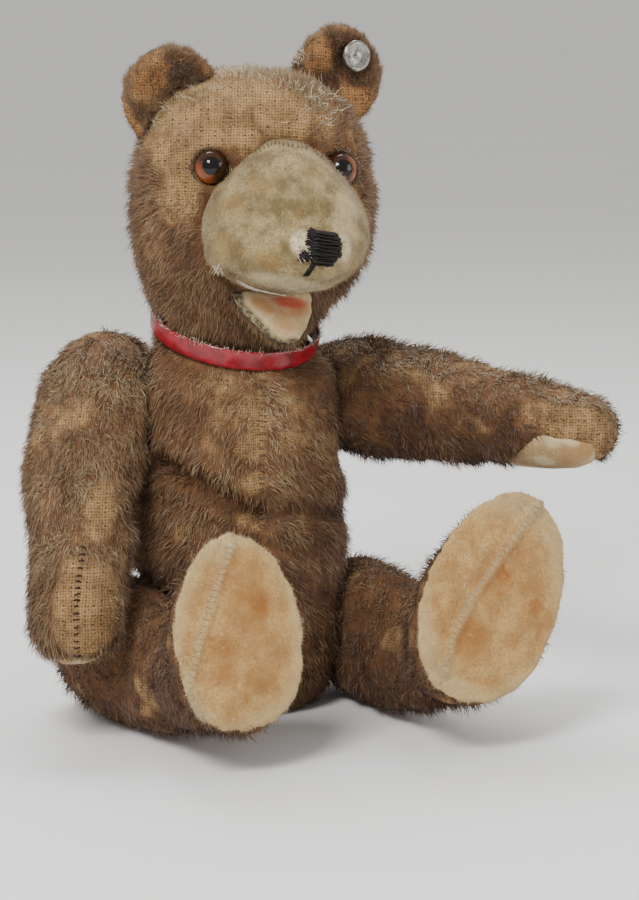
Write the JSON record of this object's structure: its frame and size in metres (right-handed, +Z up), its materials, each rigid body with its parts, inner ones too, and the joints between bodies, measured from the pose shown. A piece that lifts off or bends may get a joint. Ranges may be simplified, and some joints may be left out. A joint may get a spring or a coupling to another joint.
{
  "type": "jointed teddy bear",
  "caption": "Seated threadbare teddy bear with cupped ears, velvet muzzle, open mouth, red collar and disc-jointed limbs; one arm reaches forward.",
  "frame": {"origin": "middle of the flat underside that the bear sits on, under the neck joint", "axes": "+Z up, the bear's body faces -Y, its own left side is +X"},
  "size_m": [0.1688, 0.1221, 0.2031],
  "materials": {
    "mohair": "worn mohair pile, threadbare in patches down to the tan weave",
    "velvet": "short stained velvet, dusty and rubbed pale at its edges",
    "pad_velvet": "rubbed velvet, orange-tan in the middle and cream at the rim",
    "red_lining": "faded felt",
    "thread": "waxed thread, satin sheen",
    "glass": "polished amber glass with a black pupil",
    "red_band": "glossy, with a frayed upper edge",
    "wood_wool": "packed wood wool",
    "card": "plain card",
    "fibreboard": "pressed board",
    "steel": "dull, a little tarnished"
  },
  "bodies": {
    "body": {"body_cover": "mohair", "body_stuffing": "wood_wool", "collar": "red_band", "neck_disc_inner": "fibreboard", "neck_washer_inner": "steel", "neck_cotter_pin": "steel", "shoulder_left_disc_inner": "fibreboard", "shoulder_left_washer_inner": "steel", "shoulder_left_cotter_pin": "steel", "shoulder_right_disc_inner": "fibreboard", "shoulder_right_washer_inner": "steel", "shoulder_right_cotter_pin": "steel", "hip_left_disc_inner": "fibreboard", "hip_left_washer_inner": "steel", "hip_left_cotter_pin": "steel", "hip_right_disc_inner": "fibreboard", "hip_right_washer_inner": "steel", "hip_right_cotter_pin": "steel"},
    "head": {"head_cover": "mohair", "head_stuffing": "wood_wool", "muzzle": "velvet", "lower_jaw": "velvet", "mouth_lining": "red_lining", "nose_stitching": "thread", "ear_left": "mohair", "ear_right": "mohair", "ear_stud": "steel", "eye_left": "glass", "eye_right": "glass", "neck_disc_outer": "fibreboard", "neck_washer_outer": "steel"},
    "arm_left": {"arm_cover_left": "mohair", "arm_stuffing_left": "wood_wool", "paw_pad_left": "pad_velvet", "shoulder_left_disc_outer": "fibreboard", "shoulder_left_washer_outer": "steel"},
    "arm_right": {"arm_cover_right": "mohair", "arm_stuffing_right": "wood_wool", "paw_pad_right": "pad_velvet", "shoulder_right_disc_outer": "fibreboard", "shoulder_right_washer_outer": "steel"},
    "leg_left": {"leg_cover_left": "mohair", "leg_stuffing_left": "wood_wool", "foot_pad_left": "pad_velvet", "insole_left": "card", "hip_left_disc_outer": "fibreboard", "hip_left_washer_outer": "steel"},
    "leg_right": {"leg_cover_right": "mohair", "leg_stuffing_right": "wood_wool", "foot_pad_right": "pad_velvet", "insole_right": "card", "hip_right_disc_outer": "fibreboard", "hip_right_washer_outer": "steel"}
  },
  "joints": [
    {"name": "neck", "type": "hinge", "parent": "body", "child": "head", "pos_m": [0, 0, 0.1145], "axis": [0.0834, -0.2914, 0.953], "range_deg": [-50, 50]},
    {"name": "shoulder_left", "type": "hinge", "parent": "body", "child": "arm_left", "pos_m": [0.0255, 0.002, 0.0915], "axis": [0.9563, 0.2924, 0], "range_deg": [-35, 38]},
    {"name": "shoulder_right", "type": "hinge", "parent": "body", "child": "arm_right", "pos_m": [-0.0255, 0.002, 0.0915], "axis": [-0.9563, 0.2924, 0], "range_deg": [0, 70]},
    {"name": "hip_left", "type": "hinge", "parent": "body", "child": "leg_left", "pos_m": [0.025, 0, 0.021], "axis": [0.989, 0.1478, 0], "range_deg": [-10, 90]},
    {"name": "hip_right", "type": "hinge", "parent": "body", "child": "leg_right", "pos_m": [-0.025, 0, 0.021], "axis": [-0.989, -0.1478, 0], "range_deg": [-90, 2]}
  ]
}
